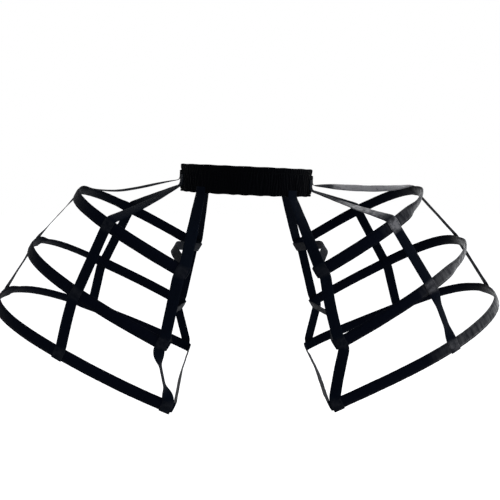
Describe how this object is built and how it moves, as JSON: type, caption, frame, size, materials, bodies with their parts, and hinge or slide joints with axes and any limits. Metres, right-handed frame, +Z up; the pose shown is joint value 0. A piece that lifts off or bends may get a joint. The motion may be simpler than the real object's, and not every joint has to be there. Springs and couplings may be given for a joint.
{
  "type": "crinoline cage",
  "caption": "Worn hip cage: a gathered elastic waistband hangs a boned cage of D shaped hoops and tapes on each hip, to hold a wide skirt out.",
  "frame": {"origin": "centre of the waist opening, at mid height of the waistband", "axes": "+Z up the body, -Y to the wearer's front, +X to the wearer's left, towards the crown of the left cage"},
  "size_m": [0.8982, 0.3204, 0.3884],
  "materials": {
    "waistband_cloth": "matt gathered cotton",
    "elastic": "woven elastic",
    "casing_cloth": "satin twill tape",
    "tape_cloth": "satin twill tape",
    "bone": "plastic coated flat spring steel",
    "bone_tip": "crimped metal cap"
  },
  "bodies": {
    "root": {"left_back_side_tape": "tape_cloth", "left_back_tape": "tape_cloth", "left_bottom_hoop_bone": "bone", "left_bottom_hoop_bone_tips": "bone_tip", "left_bottom_hoop_casing": "casing_cloth", "left_bottom_hoop_tie": "tape_cloth", "left_front_side_tape": "tape_cloth", "left_front_tape": "tape_cloth", "left_middle_hoop_bone": "bone", "left_middle_hoop_bone_tips": "bone_tip", "left_middle_hoop_casing": "casing_cloth", "left_middle_hoop_tie": "tape_cloth", "left_side_tape": "tape_cloth", "left_top_hoop_bone": "bone", "left_top_hoop_bone_tips": "bone_tip", "left_top_hoop_casing": "casing_cloth", "left_top_hoop_tie": "tape_cloth", "right_back_side_tape": "tape_cloth", "right_back_tape": "tape_cloth", "right_bottom_hoop_bone": "bone", "right_bottom_hoop_bone_tips": "bone_tip", "right_bottom_hoop_casing": "casing_cloth", "right_bottom_hoop_tie": "tape_cloth", "right_front_side_tape": "tape_cloth", "right_front_tape": "tape_cloth", "right_middle_hoop_bone": "bone", "right_middle_hoop_bone_tips": "bone_tip", "right_middle_hoop_casing": "casing_cloth", "right_middle_hoop_tie": "tape_cloth", "right_side_tape": "tape_cloth", "right_top_hoop_bone": "bone", "right_top_hoop_bone_tips": "bone_tip", "right_top_hoop_casing": "casing_cloth", "right_top_hoop_tie": "tape_cloth", "waistband_casing": "waistband_cloth", "waistband_elastic": "elastic"}
  },
  "joints": []
}
